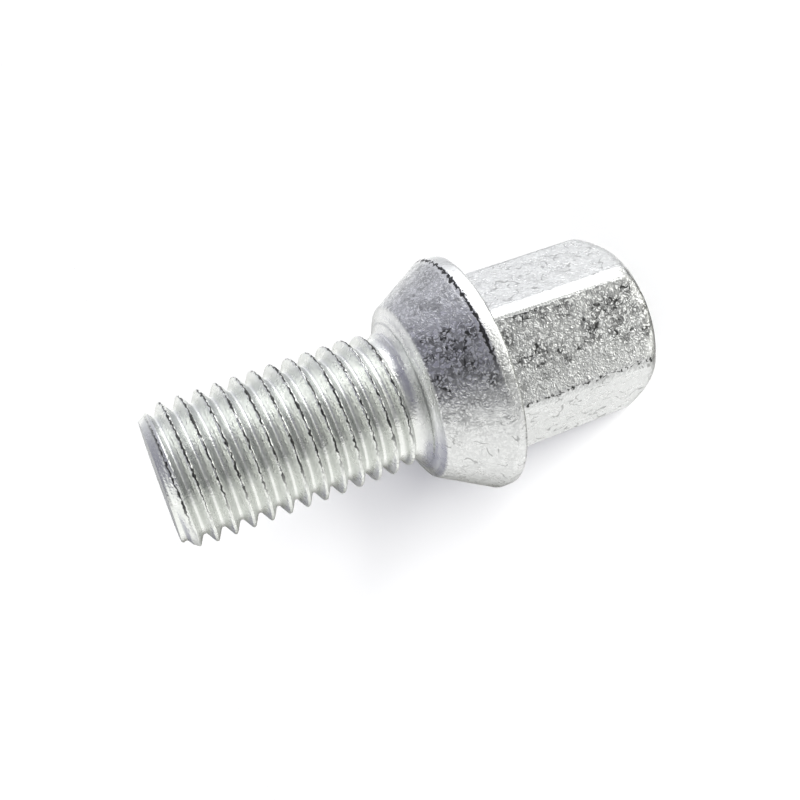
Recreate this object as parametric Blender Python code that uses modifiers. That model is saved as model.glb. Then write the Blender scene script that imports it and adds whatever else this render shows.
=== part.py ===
"""Wheel bolt: hexagon head, rim with a 60 degree taper seat, short neck and M12 x 1.5 thread.

Metres, +Z up. The bolt stands on its head, as it does on a bench: the head's end face lies on
the floor, the origin is the middle of that face, and the thread points up. Two of the hexagon's
flats face -X and +X. Heights are measured up from the head's end face.
"""
import math

import bmesh
import bpy
from mathutils import Matrix, Vector

LENGTH = 0.0409

# Thread, right-handed, rolled
PITCH = 0.0015
THREAD_DIAMETER = 0.0117
THREAD_DEPTH = 0.00086
CREST_FLAT = 0.00020
FLANK_ANGLE = math.radians(30)
CREST_DROP = 0.00028  # how far the first crest lies below the thread's end, on the +X side
END_DIAMETER = 0.0098
END_SLOPE = math.radians(34)  # of the end's chamfer, from the axis
RUN_OUT = 0.0026
RUN_OUT_DROP = 0.0004

# Neck and taper seat
SEAT_HEIGHT = 0.0199  # where the seat's cone and the neck's shoulder meet
SEAT_SMALL_DIAMETER = 0.01474
SEAT_HALF_ANGLE = math.radians(30)
SEAT_EDGE = 0.0005
SHOULDER_SLOPE = math.radians(20)
NECK_FILLET = 0.0012

# Rim of the seat
RIM_DIAMETER = 0.0200
RIM_WIDTH = 0.0011
RIM_FRONT_EDGE = 0.0006
RIM_BACK_EDGE = 0.0004
RIM_BACK_SLOPE = math.radians(20)

# Hexagon head
ACROSS_FLATS = 0.0137
CORNER_LAND = 0.0008
CORNER_END = 0.0016  # height where the domed chamfer would meet the sharp corners
FLAT_END = 0.00035  # height where it meets the middle of each flat
CHAMFER_ROUND = 0.0014
FACE_DIAMETER = 0.0124
FACE_EDGE = 0.0005
DISH_DIAMETER = 0.0086
DISH_DEPTH = 0.0006

SEGMENTS = 40  # facets round a full turn
ARC_STEPS = 4
EMBED = 0.0003  # how far a joined piece reaches into the one that carries it
FLANK_EMBED = 0.00008  # how far the thread's flanks run on into the core
CLEAR = 0.0020  # how far a cutter reaches past what it cuts
SHARP_ANGLE = math.radians(32)
FACET = math.tau / SEGMENTS
STAGGER = FACET / 4  # turn between round pieces that cross, which keeps their edges apart

CREST_RADIUS = THREAD_DIAMETER / 2
CORE_RADIUS = CREST_RADIUS - THREAD_DEPTH
CORNER_RADIUS = ACROSS_FLATS / math.sqrt(3)
SHOULDER_HEIGHT = SEAT_HEIGHT + (SEAT_SMALL_DIAMETER / 2 - CORE_RADIUS) * math.tan(SHOULDER_SLOPE)
RIM_FRONT = SEAT_HEIGHT - (RIM_DIAMETER - SEAT_SMALL_DIAMETER) / 2 / math.tan(SEAT_HALF_ANGLE)
RIM_BACK = RIM_FRONT - RIM_WIDTH
BACK_HEIGHT = RIM_BACK - (RIM_DIAMETER / 2 - CORNER_RADIUS) * math.tan(RIM_BACK_SLOPE)


def rounded(corners):
    """A turned profile through corners (r, z, radius), each rounded by its own radius."""
    points = []
    for i, (r, z, radius) in enumerate(corners):
        if not radius:
            points.append((r, z))
            continue
        corner = Vector((r, z))
        before = (Vector(corners[i - 1][:2]) - corner).normalized()
        after = (Vector(corners[i + 1][:2]) - corner).normalized()
        half = before.angle(after) / 2
        centre = corner + (before + after).normalized() * radius / math.sin(half)
        start = corner + before * radius / math.tan(half) - centre
        turn = (math.pi - 2 * half) * math.copysign(1, before.cross(after))
        for step in range(ARC_STEPS + 1):
            points.append(tuple(centre + Matrix.Rotation(-turn * step / ARC_STEPS, 2) @ start))
    return points


def polyline(name, points, closed, collection):
    """A mesh of edges in the XZ plane, for a Screw modifier to turn."""
    mesh = bpy.data.meshes.new(name)
    edges = [(i, i + 1) for i in range(len(points) - 1)]
    if closed:
        edges.append((len(points) - 1, 0))
    mesh.from_pydata([(r, 0.0, z) for r, z in points], edges, [])
    obj = bpy.data.objects.new(name, mesh)
    collection.objects.link(obj)
    return obj


def add_screw(obj, rise=0.0, turns=1):
    screw = obj.modifiers.new("turn", "SCREW")
    screw.axis = "Z"
    screw.angle = math.tau
    screw.screw_offset = rise
    screw.iterations = turns
    screw.steps = screw.render_steps = SEGMENTS
    screw.use_merge_vertices = rise == 0
    screw.merge_threshold = 1e-6


def turned(name, points, collection, closed=False, turn=0.0):
    """A solid of revolution. The profile runs down its outer side, from top to bottom."""
    obj = polyline(name, points, closed, collection)
    obj.rotation_euler.z = turn
    add_screw(obj)
    return obj


def apply_modifiers(obj):
    graph = bpy.context.evaluated_depsgraph_get()
    mesh = bpy.data.meshes.new_from_object(obj.evaluated_get(graph))
    obj.modifiers.clear()
    obj.data = mesh


def close_ends(obj):
    bm = bmesh.new()
    bm.from_mesh(obj.data)
    bmesh.ops.holes_fill(bm, edges=[edge for edge in bm.edges if edge.is_boundary], sides=0)
    bmesh.ops.recalc_face_normals(bm, faces=bm.faces)
    bm.to_mesh(obj.data)
    bm.free()


def boolean(obj, other, operation):
    modifier = obj.modifiers.new(other.name, "BOOLEAN")
    modifier.operation = operation
    modifier.solver = "EXACT"
    modifier.object = other


def make_blank(collection):
    """The turned blank: core of the thread, neck, taper seat and rim."""
    rim = RIM_DIAMETER / 2
    corners = [
        (0.0, LENGTH + CLEAR, 0),
        (CORE_RADIUS, LENGTH + CLEAR, 0),
        (CORE_RADIUS, SHOULDER_HEIGHT, NECK_FILLET),
        (SEAT_SMALL_DIAMETER / 2, SEAT_HEIGHT, SEAT_EDGE),
        (rim, RIM_FRONT, RIM_FRONT_EDGE),
        (rim, RIM_BACK, RIM_BACK_EDGE),
        (CORNER_RADIUS, BACK_HEIGHT, 0),
        (0.0, BACK_HEIGHT, 0),
    ]
    blank = turned("wheel_bolt", rounded(corners), collection)
    apply_modifiers(blank)
    return blank


def make_ridge(cutters):
    """The thread's ridge, wound up round the core from inside the seat to past the thread's end."""
    inner = CORE_RADIUS - EMBED
    foot = CORE_RADIUS - FLANK_EMBED
    half_foot = CREST_FLAT / 2 + (CREST_RADIUS - foot) * math.tan(FLANK_ANGLE)
    first_crest = LENGTH - CREST_DROP
    turns_below = math.ceil((first_crest - SEAT_HEIGHT) / PITCH) + 1
    start = first_crest - turns_below * PITCH + PITCH * STAGGER / math.tau
    section = [
        (CREST_RADIUS, start + CREST_FLAT / 2),
        (CREST_RADIUS, start - CREST_FLAT / 2),
        (foot, start - half_foot),
        (inner, start - half_foot),
        (inner, start + half_foot),
        (foot, start + half_foot),
    ]
    ridge = polyline("thread_ridge", section, True, cutters)
    ridge.rotation_euler.z = STAGGER
    add_screw(ridge, rise=PITCH, turns=turns_below + 1)
    apply_modifiers(ridge)
    close_ends(ridge)
    return ridge


def make_run_out(cutters):
    """A ring that lowers the thread's crests towards the neck, as rolling leaves them."""
    outer = CREST_RADIUS + CLEAR
    inner = CORE_RADIUS - 2 * EMBED
    low_crest = CREST_RADIUS - RUN_OUT_DROP
    bottom = SEAT_HEIGHT - 4 * PITCH
    section = [
        (outer, SHOULDER_HEIGHT + (outer - low_crest) * RUN_OUT / RUN_OUT_DROP),
        (outer, bottom),
        (inner, bottom),
        (inner, SHOULDER_HEIGHT - EMBED),
        (low_crest, SHOULDER_HEIGHT),
    ]
    return turned("run_out", section, cutters, closed=True, turn=2 * STAGGER)


def make_end_cutter(cutters):
    """What is cut off past the thread's end, with its chamfer."""
    outer = CREST_RADIUS + CLEAR
    end = END_DIAMETER / 2
    drop = (outer - end) / math.tan(END_SLOPE)
    top = LENGTH + 2 * PITCH + CLEAR
    section = [(0.0, top), (outer, top), (outer, LENGTH - drop), (end, LENGTH), (0.0, LENGTH)]
    return turned("thread_end", section, cutters, turn=3 * STAGGER)


def make_hexagon(cutters):
    """The hexagon, its long corners rounded to a narrow land."""
    low = -CLEAR
    high = (RIM_FRONT + RIM_BACK) / 2
    bpy.ops.mesh.primitive_cylinder_add(
        vertices=6, radius=CORNER_RADIUS, depth=high - low, end_fill_type="NGON"
    )
    hexagon = bpy.context.object
    hexagon.name = "hexagon"
    bm = bmesh.new()
    bm.from_mesh(hexagon.data)
    bmesh.ops.translate(bm, verts=bm.verts, vec=(0, 0, (low + high) / 2))
    long_edges = [
        edge for edge in bm.edges if abs(edge.verts[0].co.z - edge.verts[1].co.z) > CLEAR
    ]
    offset = CORNER_LAND / math.sqrt(3)
    bmesh.ops.bevel(bm, geom=long_edges, offset=offset, affect="EDGES", segments=2, profile=0.6)
    bm.to_mesh(hexagon.data)
    bm.free()
    hexagon.users_collection[0].objects.unlink(hexagon)
    cutters.objects.link(hexagon)
    return hexagon


def make_head_envelope(cutters):
    """The turned form with a domed chamfer that the hexagon's end is trimmed to."""
    flat = ACROSS_FLATS / 2
    outer = CORNER_RADIUS + CLEAR
    steepness = (CORNER_END - FLAT_END) / (CORNER_RADIUS - flat)
    corners = [
        (0.0, SEAT_HEIGHT, 0),
        (outer, SEAT_HEIGHT, 0),
        (outer, CORNER_END + CLEAR * steepness, 0),
        (flat, FLAT_END, CHAMFER_ROUND),
        (FACE_DIAMETER / 2, 0.0, FACE_EDGE),
        (0.0, 0.0, 0),
    ]
    return turned("head_envelope", rounded(corners), cutters, turn=STAGGER)


def make_dish(cutters):
    """The shallow round hollow that forging leaves in the head's end face.

    Its ball-shaped cutter runs on past the face, with no edge of its own on it.
    """
    edge = DISH_DIAMETER / 2
    radius = (edge**2 + DISH_DEPTH**2) / (2 * DISH_DEPTH)
    half = math.asin(edge / radius)
    angles = [half * (step - 0.5) / ARC_STEPS for step in range(1, ARC_STEPS + 3)]
    hollow = [(radius * math.sin(a), DISH_DEPTH - radius * (1 - math.cos(a))) for a in angles]
    section = [(0.0, DISH_DEPTH), *hollow, (0.0, hollow[-1][1])]
    return turned("head_dish", section, cutters, turn=2 * STAGGER)


def make_material():
    material = bpy.data.materials.new("zinc plated steel")
    material.use_nodes = True
    surface = material.node_tree.nodes["Principled BSDF"]
    surface.inputs["Base Color"].default_value = (0.62, 0.63, 0.63, 1)
    surface.inputs["Metallic"].default_value = 1
    surface.inputs["Roughness"].default_value = 0.35
    return material


def main():
    for obj in list(bpy.data.objects):
        bpy.data.objects.remove(obj)
    parts = bpy.data.collections.new("wheel bolt")
    cutters = bpy.data.collections.new("cutters")
    for collection in (parts, cutters):
        bpy.context.scene.collection.children.link(collection)

    ridge = make_ridge(cutters)
    boolean(ridge, make_run_out(cutters), "DIFFERENCE")
    hexagon = make_hexagon(cutters)
    boolean(hexagon, make_head_envelope(cutters), "INTERSECT")
    bolt = make_blank(parts)
    boolean(bolt, ridge, "UNION")
    boolean(bolt, hexagon, "UNION")
    boolean(bolt, make_end_cutter(cutters), "DIFFERENCE")
    boolean(bolt, make_dish(cutters), "DIFFERENCE")
    apply_modifiers(bolt)
    bolt.data.shade_smooth()
    bolt.data.set_sharp_from_angle(angle=SHARP_ANGLE)
    bolt.data.materials.append(make_material())
    for helper in cutters.objects:
        helper.hide_render = True
        helper.display_type = "WIRE"


main()
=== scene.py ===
"""Looks of the wheel bolt: a forged head, a rolled thread and bright zinc plating.

The bolt stands on its head, with the head's end face on the floor at z = 0 and the thread up.
The camera is turned on its side, so that the bolt lies in the picture with its thread to the left.
Sizes of the bolt are in millimetres and are those of its CAD model.
"""

import math

import bpy
import numpy as np
from mathutils import Matrix, Vector, noise


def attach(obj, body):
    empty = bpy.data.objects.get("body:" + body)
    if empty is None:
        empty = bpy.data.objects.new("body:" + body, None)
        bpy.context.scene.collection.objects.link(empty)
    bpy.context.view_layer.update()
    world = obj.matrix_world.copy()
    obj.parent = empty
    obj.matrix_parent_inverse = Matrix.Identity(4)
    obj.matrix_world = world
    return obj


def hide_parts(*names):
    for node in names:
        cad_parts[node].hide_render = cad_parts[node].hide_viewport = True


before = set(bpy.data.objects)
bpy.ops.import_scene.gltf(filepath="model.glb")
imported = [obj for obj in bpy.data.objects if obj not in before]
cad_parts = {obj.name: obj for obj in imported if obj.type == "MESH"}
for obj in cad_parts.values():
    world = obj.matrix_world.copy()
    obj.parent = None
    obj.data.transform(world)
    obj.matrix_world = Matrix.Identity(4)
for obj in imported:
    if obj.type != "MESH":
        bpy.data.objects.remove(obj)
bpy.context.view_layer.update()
bpy.ops.object.select_all(action="DESELECT")

MM = 0.001

# The bolt, measured up from the head's end face
LENGTH = 40.9
PITCH = 1.5
CREST_RADIUS = 5.85
THREAD_DEPTH = 0.86
CREST_FLAT = 0.20
FLANK_SLOPE = math.sqrt(3)
CREST_DROP = 0.28
END_RADIUS = 4.9
END_SLOPE = math.tan(math.radians(34))
RUN_OUT = 2.6
RUN_OUT_DROP = 0.4
CORE_RADIUS = CREST_RADIUS - THREAD_DEPTH
SEAT_HEIGHT = 19.9
SEAT_SMALL_RADIUS = 7.37
SEAT_SLOPE = math.tan(math.radians(30))
SHOULDER_SLOPE = math.tan(math.radians(20))
SHOULDER_HEIGHT = SEAT_HEIGHT + (SEAT_SMALL_RADIUS - CORE_RADIUS) * SHOULDER_SLOPE
RIM_RADIUS = 10.0
RIM_WIDTH = 1.1
RIM_FRONT = SEAT_HEIGHT - (RIM_RADIUS - SEAT_SMALL_RADIUS) / SEAT_SLOPE
RIM_BACK = RIM_FRONT - RIM_WIDTH
ACROSS_FLATS = 13.7
CORNER_RADIUS = ACROSS_FLATS / math.sqrt(3)
CORNER_LAND = 0.8
BACK_HEIGHT = RIM_BACK - (RIM_RADIUS - CORNER_RADIUS) * SHOULDER_SLOPE
CORNER_END = 1.6
FLAT_END = 0.35
FACE_RADIUS = 6.2
DISH_RADIUS = 4.3
DISH_DEPTH = 0.6
NECK_ROUND = 1.2
ROOT_RADIUS = CORE_RADIUS - 0.08
THREAD_FOOT = SEAT_HEIGHT + 0.35


def linear(code, alpha=1.0):
    """An sRGB hex colour as the linear colour that a shader takes."""
    parts = [int(code[i : i + 2], 16) / 255 for i in (0, 2, 4)]
    return (*(c / 12.92 if c <= 0.04045 else ((c + 0.055) / 1.055) ** 2.4 for c in parts), alpha)


def add_node(tree, kind, sockets=None, **settings):
    """Adds a node with its settings; a socket gets a value, or a node or output that feeds it."""
    made = tree.nodes.new(kind)
    for name, value in settings.items():
        setattr(made, name, value)
    for name, value in (sockets or {}).items():
        if isinstance(value, bpy.types.Node):
            value = next(output for output in value.outputs if output.enabled)
        if isinstance(value, bpy.types.NodeSocket):
            tree.links.new(value, made.inputs[name])
        else:
            made.inputs[name].default_value = value
    return made


# Shapes


def rounded(corners, steps=6):
    """Points (r, z) along the corners (r, z, radius), each rounded by its own radius."""
    points = []
    for i, (r, z, radius) in enumerate(corners):
        if not radius:
            points.append((r, z))
            continue
        corner = Vector((r, z))
        before = (Vector(corners[i - 1][:2]) - corner).normalized()
        after = (Vector(corners[i + 1][:2]) - corner).normalized()
        half = before.angle(after) / 2
        centre = corner + (before + after).normalized() * radius / math.sin(half)
        start = corner + before * radius / math.tan(half) - centre
        turn = (math.pi - 2 * half) * math.copysign(1, before.cross(after))
        for step in range(steps + 1):
            points.append(tuple(centre + Matrix.Rotation(-turn * step / steps, 2) @ start))
    return points


def turn_up(name, profile, vertices=192):
    """A round skin, drawn up from a circle by extruding it along the profile (r, z) in mm."""
    (radius, height), *rest = profile
    bpy.ops.mesh.primitive_circle_add(vertices=vertices, radius=radius * MM, location=(0, 0, height * MM))
    piece = bpy.context.object
    piece.name = name
    bpy.ops.object.transform_apply(location=True)
    bpy.ops.object.mode_set(mode="EDIT")
    for r, z in rest:
        bpy.ops.mesh.extrude_region_move(TRANSFORM_OT_translate={"value": (0, 0, (z - height) * MM)})
        bpy.ops.transform.resize(value=(r / radius, r / radius, 1), center_override=(0, 0, 0))
        radius, height = r, z
    bpy.ops.object.mode_set(mode="OBJECT")
    return piece


def wind_grid(name, columns, rows, shape):
    """A grid wound round the z axis; shape turns its column and row numbers into x, y, z in mm."""
    bpy.ops.mesh.primitive_grid_add(x_subdivisions=columns, y_subdivisions=rows, size=1)
    piece = bpy.context.object
    piece.name = name
    flat = np.empty(len(piece.data.vertices) * 3)
    piece.data.vertices.foreach_get("co", flat)
    flat = flat.reshape(-1, 3)
    column = np.round((flat[:, 0] + 0.5) * columns).astype(int)
    row = np.round((flat[:, 1] + 0.5) * rows).astype(int)
    places = np.stack(shape(column, row), axis=1)
    piece.data.vertices.foreach_set("co", (places * MM).ravel())
    piece.data.update()
    return piece


def close_up(piece):
    """Merges doubled corners, closes what is left open and turns the faces outward."""
    bpy.ops.object.select_all(action="DESELECT")
    piece.select_set(True)
    bpy.context.view_layer.objects.active = piece
    bpy.ops.object.mode_set(mode="EDIT")
    bpy.ops.mesh.select_all(action="SELECT")
    bpy.ops.mesh.remove_doubles(threshold=0.001 * MM)
    bpy.ops.mesh.fill_holes(sides=0)
    bpy.ops.mesh.select_all(action="SELECT")
    bpy.ops.mesh.normals_make_consistent(inside=False)
    bpy.ops.object.mode_set(mode="OBJECT")


def soft_max(a, b, width):
    """The larger of two distances, rounded over where they are nearly the same."""
    share = np.clip(0.5 + 0.5 * (a - b) / width, 0, 1)
    return b + (a - b) * share + width * share * (1 - share)


def head_distance(x, y, z):
    """Distance outside the head's planes, chamfers and dish; below zero inside the steel."""
    r = np.hypot(x, y)
    flat = ACROSS_FLATS / 2
    sides = np.full_like(x, -99.0)
    for k in range(6):
        a = math.tau * k / 6
        sides = soft_max(sides, x * math.cos(a) + y * math.sin(a) - flat, 0.10)
    for k in range(6):
        a = math.tau * (k + 0.5) / 6
        land = CORNER_RADIUS - CORNER_LAND / 12**0.5 + 0.008 * (z - 6)
        sides = soft_max(sides, x * math.cos(a) + y * math.sin(a) - land, 0.05)
    steep = (CORNER_END - FLAT_END) / (CORNER_RADIUS - flat)
    chamfer = ((r - flat) * steep - (z - FLAT_END)) / math.hypot(1, steep)
    gentle = FLAT_END / (flat - FACE_RADIUS)
    shallow = ((r - FACE_RADIUS) * gentle - z) / math.hypot(1, gentle)
    end = soft_max(soft_max(chamfer, shallow, 0.4), -z, 0.25)
    ball = (DISH_RADIUS**2 + DISH_DEPTH**2) / (2 * DISH_DEPTH)
    end = soft_max(end, ball - np.sqrt(r**2 + (z - DISH_DEPTH + ball) ** 2), 0.25)
    return np.maximum(soft_max(sides, end, 0.5), z - RIM_BACK - 0.5)


def make_head():
    """The hexagon: lands along its corners, a rounded chamfer at its end and a dished end face.

    Seen from a point inside it, each spot of its skin lies as far out as the distance allows.
    """
    eye = 7.4
    half = [1.5, 2.3, 2.6, 2.9, 3.2, 3.6, 4.3, 5.2, 6.5, 8.5, 11.5, 15.5, 20.0, 25.0]
    sector = [0.0, *half, 30.0, *(60 - a for a in reversed(half))]
    turns = np.radians([30 + 60 * k + a for k in range(6) for a in sector] + [390])
    dish = [(0.45 * k, 0.3) for k in range(1, 9)] + [(3.9 + 0.15 * k, 0) for k in range(7)]
    face = [(5.2, 0), (5.6, 0)]
    tilts = [math.atan2(r, eye - z) for r, z in dish + face]
    tilts += list(np.linspace(math.atan2(5.8, eye), math.atan2(7.9, eye - 4.5), 46))
    tilts += [math.atan2(7.6, eye - z) for z in (5.5, 7, 8.5, 10, 11.5, 13, 14, RIM_BACK + 0.4)]
    tilts = np.array([0, *tilts, math.atan2(5, eye - RIM_BACK - 0.5), math.pi])

    def shape(column, row):
        turn, tilt = turns[column], tilts[row]
        out = np.sin(tilt)
        aim = np.stack([out * np.cos(turn), out * np.sin(turn), -np.cos(tilt)])
        near, far = np.zeros_like(turn), np.full_like(turn, 20.0)
        for _ in range(45):
            middle = (near + far) / 2
            outside = head_distance(aim[0] * middle, aim[1] * middle, eye + aim[2] * middle) > 0
            near, far = np.where(outside, near, middle), np.where(outside, middle, far)
        return aim[0] * near, aim[1] * near, eye + aim[2] * near

    head = wind_grid("head", len(turns) - 1, len(tilts) - 1, shape)
    close_up(head)
    return head


def neck_radius(z):
    """The shoulder above the taper seat, with its hollow round into the thread's core."""
    shoulder = CORE_RADIUS + (SHOULDER_HEIGHT - z) / SHOULDER_SLOPE
    return (shoulder + ROOT_RADIUS + np.hypot(shoulder - ROOT_RADIUS, NECK_ROUND)) / 2


def thread_radius(angle, z):
    """Radius of the thread's surface: rounded crests and roots, run-out at the neck, chamfered end."""
    phase = (z - LENGTH + CREST_DROP) / PITCH - angle / math.tau
    away = np.abs(phase - np.round(phase)) * PITCH
    flank = FLANK_SLOPE * (away - CREST_FLAT / 2)
    drop = (flank + np.hypot(flank, 0.06)) / 2
    run_out = np.clip(1 - (z - SHOULDER_HEIGHT) / RUN_OUT, 0, 1.5)
    crest = CREST_RADIUS - RUN_OUT_DROP * run_out - drop
    surface = (crest + ROOT_RADIUS + np.hypot(crest - ROOT_RADIUS, 0.06)) / 2
    surface = soft_max(surface, neck_radius(z), 0.12)
    cone = END_RADIUS + (LENGTH - z) * END_SLOPE
    return (surface + cone - np.hypot(surface - cone, 0.05)) / 2


def make_thread():
    """The rolled thread: a grid wound round the core, its rows along the helix.

    The rows lie closest on the crests, which rolling leaves a little wavy.
    """
    half_rows = [0.035, 0.07, 0.105, 0.15, 0.22, 0.32, 0.43, 0.54, 0.61, 0.67]
    offsets = np.array([-0.75, *(-row for row in reversed(half_rows)), 0.0, *half_rows])
    columns = 192
    turns = math.ceil((LENGTH - THREAD_FOOT) / PITCH) + 2

    def shape(column, row):
        angle = column / columns * math.tau
        across = offsets[row % len(offsets)]
        along = column / columns + row // len(offsets)
        shift = (LENGTH - CREST_DROP - THREAD_FOOT) / PITCH
        z = THREAD_FOOT + (along - 1 + shift - math.floor(shift)) * PITCH + across
        inside = (z > SHOULDER_HEIGHT) & (z < LENGTH - 0.6)
        z = np.clip(z, THREAD_FOOT, LENGTH)
        radius = thread_radius(angle, z)
        seeds = [Vector((a * 30, 0, 0)) for a in along]
        wave = np.array([noise.noise(s) + 0.5 * noise.noise(s * 2.7) for s in seeds])
        crest = np.clip(1 - np.abs(across) / 0.2, 0, 1) * inside
        z = z + 0.03 * crest * wave
        radius = radius + 0.012 * crest * (wave - 0.5)
        return radius * np.cos(angle), radius * np.sin(angle), z

    return wind_grid("thread", columns, turns * len(offsets), shape)


def make_bolt():
    """Head, collar and thread as one skin: the collar's rings run on into the thread's grid."""
    corners = [
        (CORNER_RADIUS - 1, BACK_HEIGHT, 0),
        (CORNER_RADIUS, BACK_HEIGHT, 0),
        (RIM_RADIUS, RIM_BACK, 0.4),
        (RIM_RADIUS, RIM_FRONT, 0.5),
        (SEAT_SMALL_RADIUS, SEAT_HEIGHT, 0.5),
        (CORE_RADIUS, SHOULDER_HEIGHT, 0),
    ]
    profile = rounded(corners)[:-1]
    profile.append((neck_radius(THREAD_FOOT), THREAD_FOOT))
    bolt = turn_up("bolt", profile)
    make_thread().select_set(True)
    bolt.select_set(True)
    bpy.context.view_layer.objects.active = bolt
    bpy.ops.object.join()
    close_up(bolt)
    head = make_head()
    bpy.context.view_layer.objects.active = bolt
    join = bolt.modifiers.new("join", "BOOLEAN")
    join.operation = "UNION"
    join.solver = "EXACT"
    join.object = head
    bpy.ops.object.modifier_apply(modifier=join.name)
    bpy.data.objects.remove(head)
    bolt.name = "zinc_plated_bolt"
    bolt.select_set(True)
    bpy.ops.object.shade_smooth_by_angle(angle=math.radians(45))
    return bolt


# Finish

SOFT = {"interpolation_type": "SMOOTHSTEP"}  # ranges that ease in and out

# Sizes of the finish in mm. The zinc's real grain is finer: this is as fine as shows in a picture.
ZINC_GRAIN = 0.16
TORN_GRAIN = 0.24
SCALE_CURLS = 0.25
FORGING_WAVES = 1.8
PIT_PATCHES = 1.4
NICKS = 0.5
CLOUDY_PATCHES = 0.9

# Curly lines: size of the clouds that they run round, and their width, in mm
FINE_PITS = (0.40, 0.055)
LONG_PITS = (0.60, 0.070)
SCRATCHES = (1.60, 0.055)

# Where the finish changes across the bolt, in mm from its axis along ACROSS
UPPER_CORNER = 3.8
LOWER_CORNER = -4.1


def worm_lines(tree, place, size, width):
    """Curly lines, width mm across, where clouds of the given size cross their middle tone."""
    clouds = add_node(
        tree, "ShaderNodeTexNoise", {"Vector": place, "Scale": 1 / size, "Detail": 1.5, "Distortion": 0.5}
    )
    off_middle = add_node(tree, "ShaderNodeMath", {0: clouds, 1: 0.5}, operation="SUBTRACT")
    off_middle = add_node(tree, "ShaderNodeMath", {0: off_middle}, operation="ABSOLUTE")
    return add_node(
        tree, "ShaderNodeMapRange", {0: off_middle, 1: 0.85 * width / size, 2: 0.3 * width / size}, **SOFT
    )


def burnished_and_highlit_land(tree, place, radius, side, on_hexagon):
    """The upper rim's land and the hexagon's upper corner, rubbed bright, with nicked edges; kept to the
    upper side, where the highlight falls, the clearing of pits there is partly a painted highlight.
    """
    nicks = add_node(tree, "ShaderNodeTexNoise", {"Vector": place, "Scale": 1 / NICKS, "Detail": 3.0})
    nicked = add_node(tree, "ShaderNodeMath", {0: nicks, 1: 0.16, 2: radius}, operation="MULTIPLY_ADD")
    corner_edge = {0: nicked, 1: CORNER_RADIUS - 0.23, 2: CORNER_RADIUS - 0.19}
    corner = add_node(tree, "ShaderNodeMapRange", corner_edge, **SOFT)
    corner = add_node(tree, "ShaderNodeMath", {0: corner, 1: on_hexagon}, operation="MULTIPLY")
    rim_edge = {0: nicked, 1: RIM_RADIUS - 0.25, 2: RIM_RADIUS - 0.05}
    rim = add_node(tree, "ShaderNodeMapRange", rim_edge, **SOFT)
    land = add_node(tree, "ShaderNodeMath", {0: corner, 1: rim}, operation="MAXIMUM")
    # Upper side only: painted highlight where the light falls on the lands
    upper = add_node(tree, "ShaderNodeMapRange", {0: side, 1: -0.5, 2: 1.5}, **SOFT)
    return add_node(tree, "ShaderNodeMath", {0: land, 1: upper}, operation="MULTIPLY")


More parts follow.
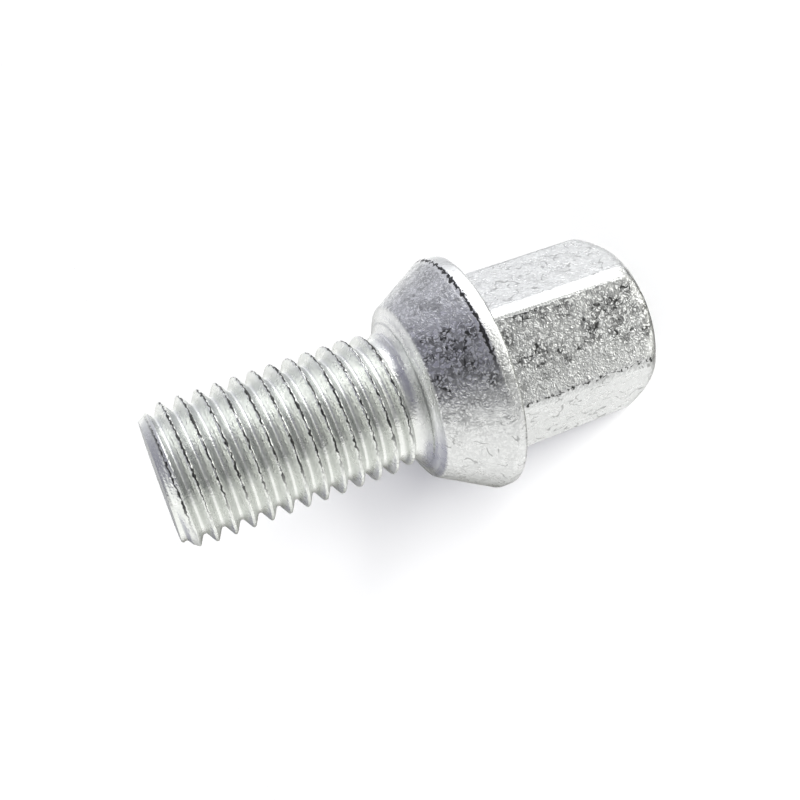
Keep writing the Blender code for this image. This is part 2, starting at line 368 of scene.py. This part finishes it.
def worm_pits(tree, place, side, on_hexagon, worked):
    """Pits that forging scale leaves, in patches, and fine scratches over them.

    The hexagon's faces above and below the middle one carry fewer pits, and so, less clearly, do the
    seat's upper and lower parts, and the lower side fewer again: painted light, as these catch the most
    light.
    """
    # Painted light: fewer pits where the faces and the lower side catch the most light
    upper_side = {0: side, 1: UPPER_CORNER - 0.5, 2: UPPER_CORNER}
    upper = add_node(tree, "ShaderNodeMapRange", upper_side, **SOFT)
    lower_side = {0: side, 1: LOWER_CORNER - 0.1, 2: LOWER_CORNER - 0.6}
    lower = add_node(tree, "ShaderNodeMapRange", lower_side, **SOFT)
    lit_faces = add_node(tree, "ShaderNodeMath", {0: upper, 1: lower}, operation="ADD")
    share = add_node(tree, "ShaderNodeMapRange", {0: on_hexagon, 3: 0.6})
    lit_faces = add_node(tree, "ShaderNodeMath", {0: lit_faces, 1: share}, operation="MULTIPLY")
    spread = add_node(tree, "ShaderNodeMapRange", {0: lit_faces, 3: 1.0, 4: 0.3})
    lit_lower_side = add_node(tree, "ShaderNodeMapRange", {0: side, 1: -4.0, 2: -1.0, 3: 0.4}, **SOFT)
    spread = add_node(tree, "ShaderNodeMath", {0: spread, 1: lit_lower_side}, operation="MULTIPLY")
    spread = add_node(tree, "ShaderNodeMath", {0: spread, 1: worked}, operation="MULTIPLY")
    patches = add_node(
        tree, "ShaderNodeTexNoise", {"Vector": place, "Scale": 1 / PIT_PATCHES, "Detail": 3.0}
    )
    patches = add_node(tree, "ShaderNodeMath", {0: spread, 1: 0.12, 2: patches}, operation="MULTIPLY_ADD")

    # Fine pits lie everywhere, denser in the patches
    density = add_node(
        tree, "ShaderNodeMapRange", {0: patches, 1: 0.50, 2: 0.80, 3: 0.48, 4: 0.85}, **SOFT
    )
    fine = worm_lines(tree, place, *FINE_PITS)
    fine = add_node(tree, "ShaderNodeMath", {0: fine, 1: density}, operation="MULTIPLY")

    # Long pits lie in the patches alone, broken into strokes
    strokes = add_node(tree, "ShaderNodeTexNoise", {"Vector": place, "Scale": 1 / 0.5, "Detail": 1.0})
    strokes = add_node(tree, "ShaderNodeMapRange", {0: strokes, 1: 0.51, 2: 0.57}, **SOFT)
    in_patches = add_node(tree, "ShaderNodeMapRange", {0: patches, 1: 0.59, 2: 0.67}, **SOFT)
    strokes = add_node(tree, "ShaderNodeMath", {0: in_patches, 1: strokes}, operation="MULTIPLY")
    long = worm_lines(tree, place, *LONG_PITS)
    long = add_node(tree, "ShaderNodeMath", {0: long, 1: strokes}, operation="MULTIPLY")
    pits = add_node(tree, "ShaderNodeMath", {0: fine, 1: long}, operation="MAXIMUM")
    pits = add_node(tree, "ShaderNodeMath", {0: pits, 1: spread}, operation="MULTIPLY")

    # Scratches are paler, and lie on the faces with fewer pits too
    strokes = add_node(tree, "ShaderNodeTexNoise", {"Vector": place, "Scale": 1 / 1.3, "Detail": 1.0})
    strokes = add_node(tree, "ShaderNodeMapRange", {0: strokes, 1: 0.51, 2: 0.57, 4: 0.5}, **SOFT)
    strokes = add_node(tree, "ShaderNodeMath", {0: strokes, 1: worked}, operation="MULTIPLY")
    scratches = worm_lines(tree, place, *SCRATCHES)
    scratches = add_node(tree, "ShaderNodeMath", {0: scratches, 1: strokes}, operation="MULTIPLY")
    return add_node(tree, "ShaderNodeMath", {0: pits, 1: scratches}, operation="MAXIMUM")


def painted_shade_edges(tree, place, radius, side, on_hexagon, rolled):
    """Painted shade: dark lines in the laps along the crests, on the rim's front edge and along the
    hexagon's lower corner, where the light leaves them dark.
    """
    x, y, z = add_node(tree, "ShaderNodeSeparateXYZ", {0: place}).outputs
    wander = add_node(tree, "ShaderNodeTexNoise", {"Vector": place, "Scale": 1 / 0.38, "Detail": 4.0})
    wander = add_node(tree, "ShaderNodeMath", {0: wander, 1: 0.5}, operation="SUBTRACT")
    width = add_node(tree, "ShaderNodeTexNoise", {"Vector": place, "Scale": 1 / 0.9, "Detail": 4.0})
    width = add_node(tree, "ShaderNodeMapRange", {0: width, 1: 0.34, 2: 0.64, 3: 0.022, 4: 0.09}, **SOFT)

    # Laps follow the helix: the height from the last crest in pitches, less the turn here
    turn = add_node(tree, "ShaderNodeMath", {0: y, 1: x}, operation="ARCTAN2")
    turn = add_node(tree, "ShaderNodeMath", {0: turn, 1: math.tau}, operation="DIVIDE")
    phase = add_node(tree, "ShaderNodeMath", {0: z, 1: LENGTH - CREST_DROP}, operation="SUBTRACT")
    phase = add_node(tree, "ShaderNodeMath", {0: phase, 1: PITCH}, operation="DIVIDE")
    phase = add_node(tree, "ShaderNodeMath", {0: phase, 1: turn}, operation="SUBTRACT")
    phase = add_node(tree, "ShaderNodeMath", {0: phase, 1: 0.5, 2: -0.5}, operation="WRAP")
    off_crest = add_node(tree, "ShaderNodeMath", {0: phase, 1: PITCH}, operation="MULTIPLY")
    lap_shade = add_node(tree, "ShaderNodeMath", {0: wander, 1: 0.42, 2: off_crest}, operation="MULTIPLY_ADD")
    lap_shade = add_node(tree, "ShaderNodeMath", {0: lap_shade}, operation="ABSOLUTE")
    lap_shade = add_node(tree, "ShaderNodeMath", {0: lap_shade, 1: width}, operation="SUBTRACT")
    lap_shade = add_node(tree, "ShaderNodeMapRange", {0: lap_shade, 1: 0.03, 2: -0.02}, **SOFT)
    # Painted shade in the laps, paler on the lower side where more light falls
    shaded_side = add_node(tree, "ShaderNodeMapRange", {0: side, 1: -4.6, 2: -2.0, 3: 0.15}, **SOFT)
    shaded_side = add_node(tree, "ShaderNodeMath", {0: shaded_side, 1: rolled}, operation="MULTIPLY")
    lap_shade = add_node(tree, "ShaderNodeMath", {0: lap_shade, 1: shaded_side}, operation="MULTIPLY")

    # The rim's line of painted shade runs just above its front edge, on the seat, and fades towards the
    # lower side, where more light falls
    off_rim = add_node(tree, "ShaderNodeMath", {0: z, 1: RIM_FRONT + 0.12}, operation="SUBTRACT")
    off_rim = add_node(tree, "ShaderNodeMath", {0: wander, 1: 0.8, 2: off_rim}, operation="MULTIPLY_ADD")
    off_rim = add_node(tree, "ShaderNodeMath", {0: off_rim}, operation="ABSOLUTE")
    rim = add_node(tree, "ShaderNodeMath", {0: width, 1: -1.7, 2: off_rim}, operation="MULTIPLY_ADD")
    rim = add_node(tree, "ShaderNodeMapRange", {0: rim, 1: 0.04, 2: -0.02}, **SOFT)
    near_rim = {0: radius, 1: RIM_RADIUS - 0.6, 2: RIM_RADIUS - 0.3}
    outer = add_node(tree, "ShaderNodeMapRange", near_rim, **SOFT)
    shaded_side = add_node(tree, "ShaderNodeMapRange", {0: side, 1: -3.0, 2: 1.0}, **SOFT)
    shaded_side = add_node(tree, "ShaderNodeMath", {0: shaded_side, 1: outer}, operation="MULTIPLY")
    rim = add_node(tree, "ShaderNodeMath", {0: rim, 1: shaded_side}, operation="MULTIPLY")

    # The hexagon's lower corner, with a broken line of painted shade
    corner = add_node(tree, "ShaderNodeMath", {0: side, 1: LOWER_CORNER}, operation="SUBTRACT")
    corner = add_node(tree, "ShaderNodeMath", {0: wander, 1: 0.9, 2: corner}, operation="MULTIPLY_ADD")
    corner = add_node(tree, "ShaderNodeMath", {0: corner}, operation="ABSOLUTE")
    corner = add_node(tree, "ShaderNodeMath", {0: width, 1: -1.2, 2: corner}, operation="MULTIPLY_ADD")
    corner = add_node(tree, "ShaderNodeMapRange", {0: corner, 1: 0.04, 2: -0.02}, **SOFT)
    breaks = add_node(tree, "ShaderNodeTexNoise", {"Vector": place, "Scale": 1 / 0.28, "Detail": 2.0})
    breaks = add_node(tree, "ShaderNodeMapRange", {0: breaks, 1: 0.44, 2: 0.52, 3: 0.1}, **SOFT)
    corner = add_node(tree, "ShaderNodeMath", {0: corner, 1: breaks}, operation="MULTIPLY")
    near_corner = {0: radius, 1: 7.3, 2: 7.5}
    outer = add_node(tree, "ShaderNodeMapRange", near_corner, **SOFT)
    outer = add_node(tree, "ShaderNodeMath", {0: outer, 1: on_hexagon}, operation="MULTIPLY")
    corner = add_node(tree, "ShaderNodeMath", {0: corner, 1: outer}, operation="MULTIPLY")
    shade_lines = add_node(tree, "ShaderNodeMath", {0: lap_shade, 1: rim}, operation="MAXIMUM")
    return add_node(tree, "ShaderNodeMath", {0: shade_lines, 1: corner}, operation="MAXIMUM")


def plated_height(tree, place, radius, z, worked, rolled, dark):
    """Heights in mm: zinc grain, rough crests, scale, the forging's waves, a lip round the shoulder."""
    grain = add_node(tree, "ShaderNodeTexNoise", {"Vector": place, "Scale": 1 / ZINC_GRAIN, "Detail": 1.0})
    height = add_node(tree, "ShaderNodeMath", {0: grain, 1: 0.032}, operation="MULTIPLY")
    torn = add_node(tree, "ShaderNodeTexNoise", {"Vector": place, "Scale": 1 / TORN_GRAIN, "Detail": 1.0})
    torn = add_node(tree, "ShaderNodeMath", {0: torn, 1: rolled}, operation="MULTIPLY")
    height = add_node(tree, "ShaderNodeMath", {0: torn, 1: 0.07, 2: height}, operation="MULTIPLY_ADD")
    curls = {"Vector": place, "Scale": 1 / SCALE_CURLS, "Detail": 1.0, "Distortion": 0.8}
    scale = add_node(tree, "ShaderNodeTexNoise", curls)
    scale = add_node(tree, "ShaderNodeMath", {0: scale, 1: 0.5}, operation="SUBTRACT")
    scale = add_node(tree, "ShaderNodeMath", {0: scale}, operation="ABSOLUTE")
    depth = add_node(tree, "ShaderNodeMapRange", {0: worked, 3: 0.01, 4: 0.07}, **SOFT)
    scale = add_node(tree, "ShaderNodeMath", {0: scale, 1: depth, 2: height}, operation="MULTIPLY_ADD")
    waves = add_node(
        tree, "ShaderNodeTexNoise", {"Vector": place, "Scale": 1 / FORGING_WAVES, "Detail": 1.0}
    )
    waves = add_node(tree, "ShaderNodeMath", {0: waves, 1: worked}, operation="MULTIPLY")
    height = add_node(tree, "ShaderNodeMath", {0: waves, 1: 0.05, 2: scale}, operation="MULTIPLY_ADD")
    crease = add_node(tree, "ShaderNodeMapRange", {0: radius, 1: 6.05, 2: 6.3, 4: 0.06}, **SOFT)
    lip = add_node(tree, "ShaderNodeMapRange", {0: radius, 1: 6.45, 2: 6.9, 4: -0.04}, **SOFT)
    lip = add_node(tree, "ShaderNodeMath", {0: crease, 1: lip}, operation="ADD")
    above_rim = add_node(tree, "ShaderNodeMapRange", {0: z, 1: RIM_BACK, 2: RIM_FRONT}, **SOFT)
    height = add_node(tree, "ShaderNodeMath", {0: lip, 1: above_rim, 2: height}, operation="MULTIPLY_ADD")
    return add_node(tree, "ShaderNodeMath", {0: dark, 1: -0.01, 2: height}, operation="MULTIPLY_ADD")


def zinc_plated_steel():
    """Steel, forged at the head and rolled at the thread, then barrel-plated with bright zinc.

    The zinc is a soft mirror, a little cloudy from its fine crystals. Forging scale leaves
    worm-like pits, darker where chromate has dried in them, and tumbling rubs the edges bright.
    Painted shade darkens the crests' laps, the rim's front edge and one corner of the hexagon, and
    painted light thins the pits where the faces and the upper lands catch the most light.
    """
    material = bpy.data.materials.new("zinc_plated_steel")
    material.use_nodes = True
    tree = material.node_tree
    surface = tree.nodes["Principled BSDF"]
    metres = add_node(tree, "ShaderNodeTexCoord").outputs["Object"]
    place = add_node(tree, "ShaderNodeVectorMath", {0: metres, "Scale": 1000.0}, operation="SCALE")
    z = add_node(tree, "ShaderNodeSeparateXYZ", {0: place}).outputs["Z"]
    off_axis = add_node(tree, "ShaderNodeVectorMath", {0: place, 1: (1, 1, 0)}, operation="MULTIPLY")
    radius = add_node(tree, "ShaderNodeVectorMath", {0: off_axis}, operation="LENGTH")
    side = add_node(tree, "ShaderNodeVectorMath", {0: place, 1: ACROSS}, operation="DOT_PRODUCT")

    top = SHOULDER_HEIGHT
    forged = add_node(tree, "ShaderNodeMapRange", {0: z, 1: top + 0.9, 2: top + 0.1}, **SOFT)
    rolled = add_node(tree, "ShaderNodeMapRange", {0: forged, 1: 0.6, 2: 0.1}, **SOFT)
    crests = add_node(
        tree, "ShaderNodeMapRange", {0: radius, 1: CREST_RADIUS - 0.7, 2: CREST_RADIUS - 0.45}, **SOFT
    )
    rolled = add_node(tree, "ShaderNodeMath", {0: rolled, 1: crests}, operation="MULTIPLY")
    on_hexagon = add_node(tree, "ShaderNodeMapRange", {0: z, 1: RIM_BACK, 2: RIM_BACK - 0.3}, **SOFT)
    land = burnished_and_highlit_land(tree, place, radius, side, on_hexagon)
    kept = add_node(tree, "ShaderNodeMapRange", {0: land, 3: 1.0, 4: 0.1})
    below_neck = add_node(
        tree, "ShaderNodeMapRange", {0: z, 1: SEAT_HEIGHT + 0.15, 2: SEAT_HEIGHT - 0.1, 3: 0.12}, **SOFT
    )
    worked = add_node(tree, "ShaderNodeMath", {0: kept, 1: below_neck}, operation="MULTIPLY")
    pits = worm_pits(tree, place, side, on_hexagon, worked)
    shade_lines = painted_shade_edges(tree, place, radius, side, on_hexagon, rolled)
    dark = add_node(tree, "ShaderNodeMath", {0: pits, 1: shade_lines}, operation="MAXIMUM")

    # The dark colour stands for chromate in the pits and for painted shade along the laps, the rim's edge
    # and one corner
    thread_zinc, head_zinc, chromate_and_painted_shade = linear("dfe1de"), linear("d4d5d5"), linear("2a2a2a")
    zinc = add_node(
        tree, "ShaderNodeMix", {"Factor": forged, "A": thread_zinc, "B": head_zinc}, data_type="RGBA"
    )
    residue_and_shade = add_node(tree, "ShaderNodeMath", {0: dark, 1: 0.95}, operation="MULTIPLY")
    colour = add_node(
        tree, "ShaderNodeMix", {"Factor": residue_and_shade, "A": zinc, "B": chromate_and_painted_shade}, data_type="RGBA"
    )
    cloudy = add_node(
        tree, "ShaderNodeTexNoise", {"Vector": place, "Scale": 1 / CLOUDY_PATCHES, "Detail": 3.0}
    )
    cloudy = add_node(tree, "ShaderNodeMapRange", {0: cloudy, 1: 0.35, 2: 0.65, 3: 0.24, 4: 0.34}, **SOFT)
    rough = add_node(tree, "ShaderNodeMath", {0: dark, 1: 0.2, 2: cloudy}, operation="MULTIPLY_ADD")
    height = plated_height(tree, place, radius, z, worked, rolled, dark)
    bump = add_node(tree, "ShaderNodeBump", {"Height": height, "Distance": MM, "Strength": 1.0})
    tree.links.new(colour.outputs["Result"], surface.inputs["Base Color"])
    tree.links.new(rough.outputs[0], surface.inputs["Roughness"])
    tree.links.new(bump.outputs[0], surface.inputs["Normal"])
    surface.inputs["Metallic"].default_value = 1.0
    return material


def white_paper():
    """Uncoated paper, pressed and dried, which gives a matt white without any mirror image."""
    material = bpy.data.materials.new("white_paper")
    material.use_nodes = True
    surface = material.node_tree.nodes["Principled BSDF"]
    surface.inputs["Base Color"].default_value = linear("969698")
    surface.inputs["Roughness"].default_value = 0.9
    surface.inputs["Specular IOR Level"].default_value = 0.1
    return material


# Camera and light

CAMERA_SIDE = math.radians(-116)  # direction from the bolt's axis to the camera
TO_CAMERA = Vector((math.cos(CAMERA_SIDE), math.sin(CAMERA_SIDE), 0))
ACROSS = Vector((-math.sin(CAMERA_SIDE), math.cos(CAMERA_SIDE), 0))
UP = Vector((0, 0, 1))
VIEW_RIGHT = 0.24664 * TO_CAMERA - 0.33973 * ACROSS - 0.90761 * UP
VIEW_UP = 0.08647 * TO_CAMERA + 0.94052 * ACROSS - 0.32855 * UP
VIEW_BACK = VIEW_RIGHT.cross(VIEW_UP)


def make_camera():
    """The camera at the photo's place, turned on its side, as the bolt stands."""
    camera = bpy.data.objects.new("camera", bpy.data.cameras.new("camera"))
    bpy.context.scene.collection.objects.link(camera)
    place = (82.546 * TO_CAMERA + (LENGTH + 1.963) * UP) * MM
    axes = Matrix((VIEW_RIGHT, VIEW_UP, VIEW_BACK)).transposed()
    camera.matrix_world = Matrix.Translation(place) @ axes.to_4x4()
    camera.data.sensor_width = 36
    camera.data.lens = 46.92
    camera.data.shift_x = -0.0017
    camera.data.shift_y = -0.0029
    camera.data.clip_start = 0.005
    bpy.context.scene.camera = camera


def in_view(right, up, back):
    """A direction given as it is seen in the picture."""
    return (right * VIEW_RIGHT + up * VIEW_UP + back * VIEW_BACK).normalized()


def make_world():
    """What the zinc mirrors: softboxes, a white table and dark cloths in a dim room."""
    world = bpy.data.worlds.new("studio")
    bpy.context.scene.world = world
    world.use_nodes = True
    tree = world.node_tree
    tree.nodes.clear()
    direction = add_node(tree, "ShaderNodeTexCoord").outputs["Generated"]
    # direction in the picture, cosines where it fades in and is full, colour, strength,
    # which is below zero for a dark cloth
    lamps = [
        ((0.10, 0.96, 0.20), 0.80, 0.90, "ffffff", 2.1),
        ((0.25, 0.66, -0.71), 0.60, 0.90, "fdfefd", 0.55),
        ((0.00, -0.82, -0.57), -0.04, 0.24, "fffffb", 1.05),
        ((0.00, -0.25, -0.97), 0.82, 0.94, "ffffff", -1.0),
        ((0.90, 0.32, 0.20), 0.80, 0.93, "fffff8", 1.8),
        ((0.60, 0.72, 0.25), 0.80, 0.92, "fffff8", 0.8),
        ((0.46, 0.20, 0.86), 0.84, 0.97, "fffff8", 0.36),
        ((-0.95, -0.30, -0.05), 0.80, 0.93, "ffffff", 0.35),
        ((-0.72, -0.45, -0.53), 0.84, 0.95, "fffff0", -0.8),
        ((0.85, 0.10, -0.50), 0.80, 0.94, "ffffff", -1.0),
        ((0.48, -0.59, -0.65), 0.88, 0.97, "ffffff", 0.2),
        ((-0.60, 0.30, 0.70), 0.50, 0.95, "c8c4ff", 0.12),
        ((-0.62, 0.60, 0.35), 0.80, 0.97, "f4f4ff", 0.2),
        ((-0.58, 0.66, -0.35), 0.75, 0.95, "f4f4ff", 0.5),
    ]
    total = add_node(tree, "ShaderNodeRGB").outputs[0]
    total.default_value = linear("86868a")
    for towards, fades, full, colour, strength in lamps:
        dot = add_node(
            tree, "ShaderNodeVectorMath", {0: direction, 1: in_view(*towards)}, operation="DOT_PRODUCT"
        )
        lobe = add_node(
            tree,
            "ShaderNodeMapRange",
            {"Value": dot.outputs["Value"], "From Min": fades, "From Max": full, "To Max": strength},
            interpolation_type="SMOOTHSTEP",
        )
        glow = add_node(
            tree,
            "ShaderNodeVectorMath",
            {0: linear(colour)[:3], "Scale": lobe.outputs["Result"]},
            operation="SCALE",
        )
        total = add_node(
            tree, "ShaderNodeVectorMath", {0: total, 1: glow.outputs[0]}, operation="ADD"
        ).outputs[0]
    rays = add_node(tree, "ShaderNodeLightPath")
    studio = add_node(tree, "ShaderNodeBackground", {"Color": total})
    plain = add_node(tree, "ShaderNodeBackground", {"Color": linear("ffffff"), "Strength": 1.1})
    mixed = add_node(
        tree,
        "ShaderNodeMixShader",
        {0: rays.outputs["Is Camera Ray"], 1: studio.outputs[0], 2: plain.outputs[0]},
    )
    add_node(tree, "ShaderNodeOutputWorld", {"Surface": mixed.outputs[0]})


def make_lights():
    """Lamps for the floor and its soft shadows. The zinc doesn't mirror them."""
    # name: direction in the picture, colour, strength, softness in degrees
    lamps = {
        "fill_light": ((0.0, 0.0, 1.0), "f4f4ff", 5.5, 10),
        "key_light": ((0.03, 0.17, 1.0), "fffff8", 30.0, 14),
        "side_light": ((0.17, 0.15, 1.0), "fffff8", 36.0, 8),
    }
    for name, (towards, colour, energy, softness) in lamps.items():
        light = bpy.data.objects.new(name, bpy.data.lights.new(name, "SUN"))
        bpy.context.scene.collection.objects.link(light)
        light.data.color = linear(colour)[:3]
        light.data.energy = energy
        light.data.angle = math.radians(softness)
        light.visible_glossy = False
        light.rotation_euler = in_view(*towards).to_track_quat("Z", "Y").to_euler()


def make_floor():
    """The white table, which the zinc doesn't mirror, as the world's lamps stand for it."""
    bpy.ops.mesh.primitive_plane_add(size=4)
    floor = bpy.context.object
    floor.name = "floor"
    floor.data.materials.append(white_paper())
    floor.visible_glossy = False


bolt = make_bolt()
bolt.data.materials.clear()
bolt.data.materials.append(zinc_plated_steel())
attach(bolt, "root")
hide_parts("wheel_bolt")
make_floor()
make_camera()
make_world()
make_lights()
bpy.context.scene.view_settings.view_transform = "Standard"
